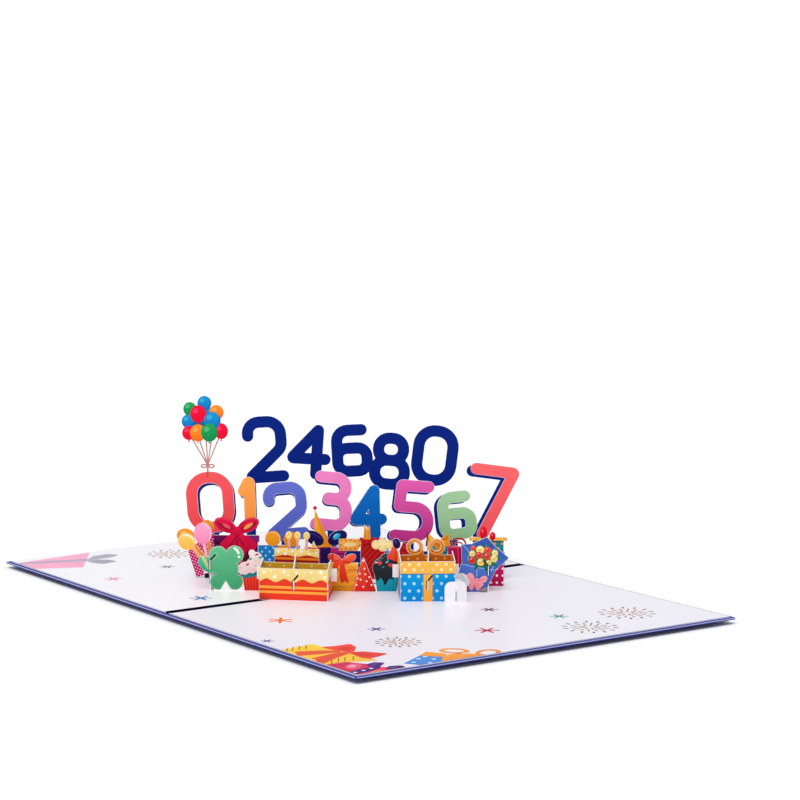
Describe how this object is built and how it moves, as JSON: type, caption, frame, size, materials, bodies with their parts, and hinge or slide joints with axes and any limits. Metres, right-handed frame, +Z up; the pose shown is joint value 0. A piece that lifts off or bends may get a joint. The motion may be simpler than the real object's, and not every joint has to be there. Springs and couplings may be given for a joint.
{
  "type": "pop up card",
  "caption": "Folded card lying open, with diagonal rows of die-cut numbers, gifts, balloons and two open paper boxes standing on its inner sheets.",
  "frame": {"origin": "middle of the cover's fold, on its underside, with the card lying open", "axes": "+X along the fold, +Y across the far panel, -Y across the near panel, +Z up"},
  "size_m": [0.2, 0.3, 0.0871],
  "materials": {
    "navy_cover": "glossy printed card",
    "white_liner": "glossy coated white card",
    "navy_sheet": "printed card, smooth",
    "number_sheet": "printed card, smooth",
    "figure_sheet": "printed card, smooth",
    "cake_sheet": "printed card, smooth",
    "gift_sheet": "printed card, smooth",
    "white_sheet": "uncoated white card"
  },
  "bodies": {
    "root": {"cover": "navy_cover", "far_liner": "white_liner", "near_liner": "white_liner", "back_row": "navy_sheet", "number_row": "number_sheet", "rear_balloons": "figure_sheet", "dotted_bag": "figure_sheet", "figure_row": "figure_sheet", "cake_wrap": "cake_sheet", "cake_back": "cake_sheet", "gift_wrap": "gift_sheet", "gift_back": "gift_sheet", "cross_left": "white_sheet", "cross_cake": "white_sheet", "cross_gift": "white_sheet", "cross_right": "white_sheet", "mounting_tab": "white_sheet"}
  },
  "joints": []
}
